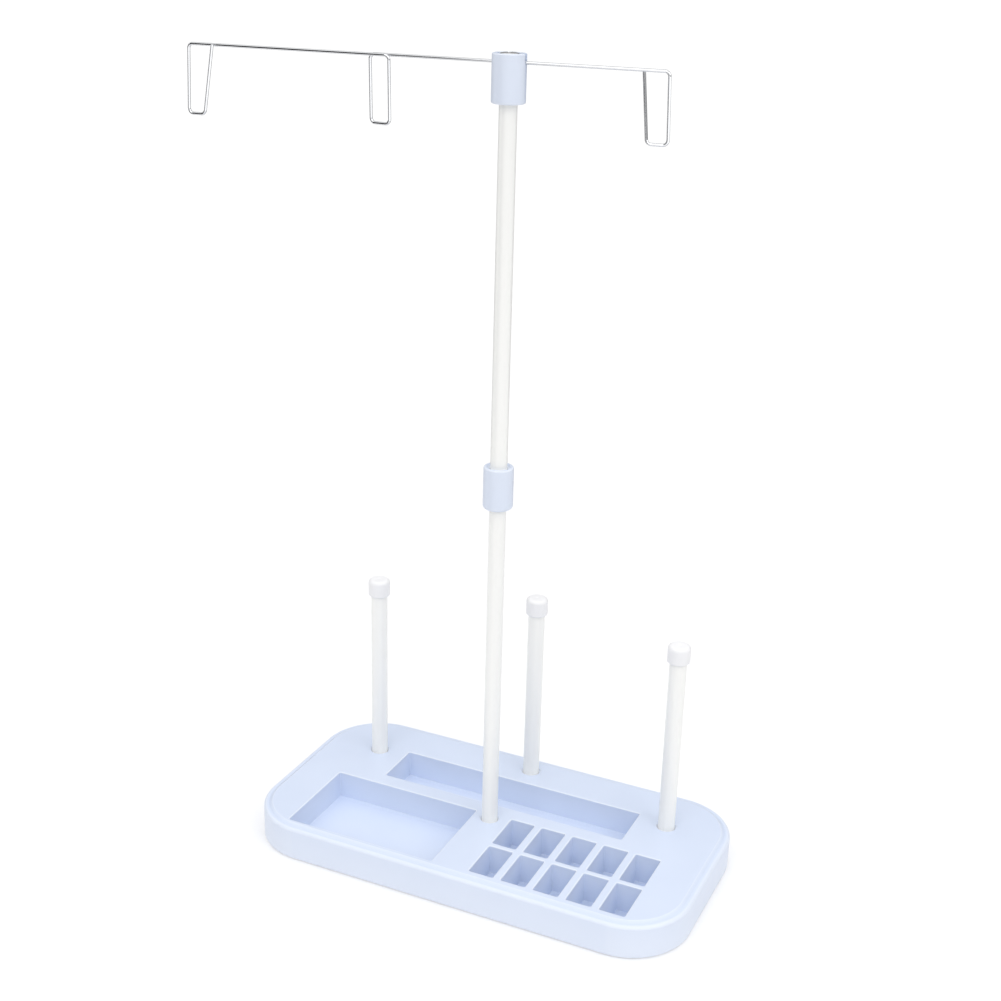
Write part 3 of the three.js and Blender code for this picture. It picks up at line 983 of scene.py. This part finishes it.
def bent_path(corners, steps=10):
    """Replaces each inner corner by the arc that touches both of its sides: with b the bend
    radius and h half the angle between the sides, the arc starts b / tan h from the corner,
    and its centre is b / sin h away on the bisector."""
    points = np.array([c[:3] for c in corners], float)
    path = [points[:1]]
    for before, here, after, corner in zip(points, points[1:], points[2:], corners[1:]):
        to_before, to_after = before - here, after - here
        to_before /= np.linalg.norm(to_before)
        to_after /= np.linalg.norm(to_after)
        half = math.acos(float(to_before @ to_after)) / 2
        bisector = (to_before + to_after) / np.linalg.norm(to_before + to_after)
        centre = here + bisector * corner[3] / math.sin(half)
        start = here + to_before * corner[3] / math.tan(half) - centre
        end = here + to_after * corner[3] / math.tan(half) - centre
        swing = math.pi - 2 * half
        share = np.linspace(0, 1, steps + 1)[:, None]
        arc = np.sin((1 - share) * swing) * start + np.sin(share * swing) * end
        path.append(centre + arc / math.sin(swing))
    path.append(points[-1:])
    return np.concatenate(path)


path = bent_path(corners)
length = np.linalg.norm(np.diff(path, axis=0), axis=1).sum()
print("the wire is", round(length), "mm long, with", len(path), "points")

# %% The wire


def wire_piece(name, path, radius, sides=20):
    """Ring i is path_i + r_i (cos a * side + sin a * up), where side is the part of Y square to
    the wire and up = tangent x side. The first and last rings shrink, to round the cut ends.
    The layer "along" is (r cos a, r sin a, distance): the wire as if it were straight."""
    tangent = np.gradient(path, axis=0)
    tangent /= np.linalg.norm(tangent, axis=1)[:, None]
    shrink, proud = np.array([[0.0, 0.5, 0.85, 1.0], [0.0, 0.05, 0.2, 0.55]])
    ends = proud[:, None] * radius
    rings = np.concatenate(
        [path[0] + ends * tangent[0], path[1:-1], (path[-1] - ends * tangent[-1])[::-1]]
    )
    tips = (len(shrink), 1)
    lean = [np.tile(tangent[0], tips), tangent[1:-1], np.tile(tangent[-1], tips)]
    lean = np.concatenate(lean)
    size = radius * np.concatenate([shrink, np.ones(len(path) - 2), shrink[::-1]])
    side = np.array([0.0, 1.0, 0.0]) - lean[:, 1:2] * lean
    side /= np.linalg.norm(side, axis=1)[:, None]
    up = np.cross(lean, side)
    angle = np.arange(sides) * 2 * math.pi / sides
    c, s = np.cos(angle)[None, :, None], np.sin(angle)[None, :, None]
    grid = rings[:, None] + size[:, None, None] * (c * side[:, None] + s * up[:, None])
    step = np.linalg.norm(np.diff(rings, axis=0), axis=1)
    distance = np.concatenate([[0.0], np.cumsum(step)])[:, None, None]
    along = np.concatenate(np.broadcast_arrays(radius * c, radius * s, distance), axis=-1)
    place = turn_about_mast(grid + np.array([0.0, 0.0, BAR]))
    return closed_mesh(name, [place], layers=[("along", along * MM)])


wire = wire_piece("bent_wire_guide", path, WIRE)
finish_piece(wire, stainless, "thread_guide_wire")
print("wire:", len(wire.data.polygons), "faces")

# %% [markdown]
# ## The clamp screw
#
# A pan-head screw and a washer clamp the wire in the hub. The head is a turned shape: a short
# straight side, a round shoulder and a slight dome. Its cross recess is cut by two tapered
# blades and a cone, because a driver's tip is tapered, and its bottom is what looks dark.

# %% Washer and screw
WASHER_BORE = 2.2
WASHER_EDGE = 0.12
x, y, radius, bottom, top = around("guide_washer")
edge = WASHER_EDGE
profile = [
    (WASHER_BORE, bottom + edge),
    (WASHER_BORE + edge, bottom),
    *fillet((radius - edge, bottom + edge), edge, -90, 0, 3),
    *fillet((radius - 2 * edge, top - 2 * edge), 2 * edge, 0, 90, 4),
    (WASHER_BORE + edge, top),
    (WASHER_BORE, top - edge),
]
finish_piece(turned("washer", x, y, profile), nickel, "guide_washer")

SHANK = 2.0
HEAD = 4.5
HEAD_GAP = 0.1
HEAD_CHAMFER = 0.15
HEAD_SHOULDER = 1.1
HEAD_DOME = 0.25
CROSS = 4.8
CROSS_WIDTH = 1.05
CROSS_DEPTH = 1.7
CROSS_TAPER = 0.3
CONE_RADIUS, CONE_TIP, CONE_DEPTH = 1.15, 0.25, 1.9
ABOVE = 0.5
screw_low, screw_high = box_mm("guide_screw")
head_bottom, head_top = top + HEAD_GAP, screw_high[2]
shoulder = (HEAD - HEAD_SHOULDER, head_top - HEAD_SHOULDER - HEAD_DOME)
profile = [
    (0, screw_low[2]),
    (SHANK / 2, screw_low[2]),
    (SHANK, screw_low[2] + SHANK),
    (SHANK, head_bottom),
    (HEAD - HEAD_CHAMFER, head_bottom),
    (HEAD, head_bottom + HEAD_CHAMFER),
    *fillet(shoulder, HEAD_SHOULDER, 0, 70, 7),
    (HEAD * 0.45, head_top - 0.06),
    (HEAD * 0.25, head_top),
    (0, head_top),
]
screw = turned("clamp_screw", x, y, profile)


def blade(length, width):
    """One tapered blade of the driver's tip, with its wide end above the head."""
    x, y = length / 2, width / 2
    outline = rounded_rectangle(-x, x, -y, y, width * 0.35, 3)
    tip = (-CROSS_TAPER, head_top - CROSS_DEPTH)
    grid = carry(outline, [(0, head_top + ABOVE), (0, head_top), tip])
    return closed_mesh("blade", [turn_about_mast(grid)])


combine(screw, blade(CROSS, CROSS_WIDTH), "DIFFERENCE")
combine(screw, blade(CROSS_WIDTH, CROSS), "DIFFERENCE")
cone = [
    (CONE_RADIUS, head_top + ABOVE),
    (CONE_RADIUS, head_top),
    (CONE_TIP, head_top - CONE_DEPTH),
]
combine(screw, closed_mesh("cone", [carry(circle(x, y, 32), cone)]), "DIFFERENCE")
finish_piece(screw, nickel, "guide_screw")
print("screw:", len(screw.data.polygons), "faces")

# %% [markdown]
# ## Floor and surroundings
#
# The stand is shown as in a white studio. The floor is pale and glows faintly, so that it melts
# into a white background, and the sky is brightest overhead. Polished wire shows whatever stands
# round it, so shiny surfaces see a ring of light and dark panels round the horizon, as in a
# photographer's tent. The list below gives the ring's brightness by azimuth in degrees, where
# 0 is the front and 90 is the right. Matt surfaces are lit by the plain sky alone.

# %% Floor
FLOOR_REACH = 0.5
FLOOR_GLOW = 0.22
floor_mesh = bpy.data.meshes.new("floor")
ways = (-1, -1), (1, -1), (1, 1), (-1, 1)
floor_corners = [(FLOOR_REACH * x, FLOOR_REACH * y, 0) for x, y in ways]
floor_mesh.from_pydata(floor_corners, [], [(0, 1, 2, 3)])
floor = bpy.data.objects.new("floor", floor_mesh)
bpy.context.scene.collection.objects.link(floor)
material, tree = start_material("white_studio_floor")
finish_material(
    tree,
    {
        "Base Color": linear("#E0E0E1"),
        "Roughness": 0.9,
        "IOR": 1.2,
        "Emission Color": linear("#FFFFFF"),
        "Emission Strength": FLOOR_GLOW,
    },
)
floor_mesh.materials.append(material)
print("floor:", 2 * FLOOR_REACH, "m wide")

# %% Surroundings
HORIZON_LIGHT, ZENITH_LIGHT, BELOW_LIGHT = 0.12, 1.38, 0.68
SEEN_WHITE = 1.05
BRIGHT, DIM, DARK = 2.4, 0.3, 0.0
PANELS = [(-180, DIM), (-92, DIM), (-84, BRIGHT), (-64, BRIGHT), (-58, DARK), (-20, DARK)]
PANELS += [(-12, BRIGHT), (128, BRIGHT), (136, DIM), (180, DIM)]
PANEL_TOP, PANEL_FADE = 0.45, 0.75


def calculate(tree, operation, *values):
    """One Math node. Its inputs share a name, so they are filled by their order."""
    node = tree.nodes.new("ShaderNodeMath")
    node.operation = operation
    for socket, value in zip(node.inputs, values):
        if isinstance(value, bpy.types.NodeSocket):
            tree.links.new(value, socket)
        else:
            socket.default_value = value
    return node.outputs[0]


def blend(tree, factor, a, b):
    """a where the factor is 0, and b where it is 1."""
    return add_node(tree, "ShaderNodeMix", {"Factor": factor, "A": a, "B": b})


def panel_ring(tree, azimuth):
    """The ring's brightness: a ramp over one turn, from the back over the left to the front."""
    turn = {"Value": azimuth, "From Min": -math.pi, "From Max": math.pi}
    ramp = tree.nodes.new("ShaderNodeValToRGB")
    tree.links.new(add_node(tree, "ShaderNodeMapRange", turn), ramp.inputs[0])
    stops = ramp.color_ramp.elements
    stops[0].position, stops[1].position = 0.0, 1.0
    for stop, (_, level) in zip(stops, (PANELS[0], PANELS[-1])):
        stop.color = (level, level, level, 1.0)
    for angle, level in PANELS[1:-1]:
        stops.new((angle + 180) / 360).color = (level, level, level, 1.0)
    return ramp.outputs[0]


world = bpy.data.worlds.new("studio")
bpy.context.scene.world = world
world.use_nodes = True
sky = world.node_tree
sky.nodes.clear()
way = add_node(sky, "ShaderNodeTexCoord", output="Generated")
right, back, height = (
    add_node(sky, "ShaderNodeSeparateXYZ", {"Vector": way}, output=axis) for axis in "XYZ"
)
azimuth = calculate(sky, "ARCTAN2", right, calculate(sky, "MULTIPLY", back, -1.0))
upward = {"Value": height, "To Min": HORIZON_LIGHT, "To Max": ZENITH_LIGHT}
upward = add_node(sky, "ShaderNodeMapRange", upward)
plain = blend(sky, calculate(sky, "LESS_THAN", height, 0.0), upward, BELOW_LIGHT)
fade = {"Value": height, "From Min": PANEL_TOP, "From Max": PANEL_FADE}
ring = blend(sky, add_node(sky, "ShaderNodeMapRange", fade), panel_ring(sky, azimuth), 1.0)
shiny = add_node(sky, "ShaderNodeLightPath", output="Is Glossy Ray")
seen = add_node(sky, "ShaderNodeLightPath", output="Is Camera Ray")
strength = calculate(sky, "MULTIPLY", plain, blend(sky, shiny, 1.0, ring))
strength = blend(sky, seen, strength, SEEN_WHITE)
light = {"Color": linear("#FFFFFF"), "Strength": strength}
light = add_node(sky, "ShaderNodeBackground", light)
add_node(sky, "ShaderNodeOutputWorld", {"Surface": light})
print("surroundings:", len(sky.nodes), "nodes")

# %% [markdown]
# ## Lamps
#
# Two large soft lamps do the rest. The key stands on the right, so upright round pieces are a
# little darker on their left. The fill is a wide lamp in front, high enough to reach over the
# front lip of every pocket and light its back wall.

# %% Soft lamps


def softbox(name, azimuth, elevation, distance, size, power):
    """A square area light that looks at the middle of the stand from that direction."""
    lamp = bpy.data.lights.new(name, "AREA")
    lamp.shape, lamp.size, lamp.energy = "SQUARE", size, power
    light = bpy.data.objects.new(name, lamp)
    bpy.context.scene.collection.objects.link(light)
    a, e = math.radians(azimuth), math.radians(elevation)
    way = Vector((math.sin(a) * math.cos(e), -math.cos(a) * math.cos(e), math.sin(e)))
    light.location = AIM + way * distance
    light.rotation_mode = "QUATERNION"
    light.rotation_quaternion = (-way).to_track_quat("-Z", "Y")
    return light


softbox("key", azimuth=70, elevation=38, distance=1.8, size=1.0, power=5.0)
softbox("fill", azimuth=2, elevation=40, distance=2.4, size=1.6, power=11.0)
bpy.context.scene.view_settings.view_transform = "Standard"
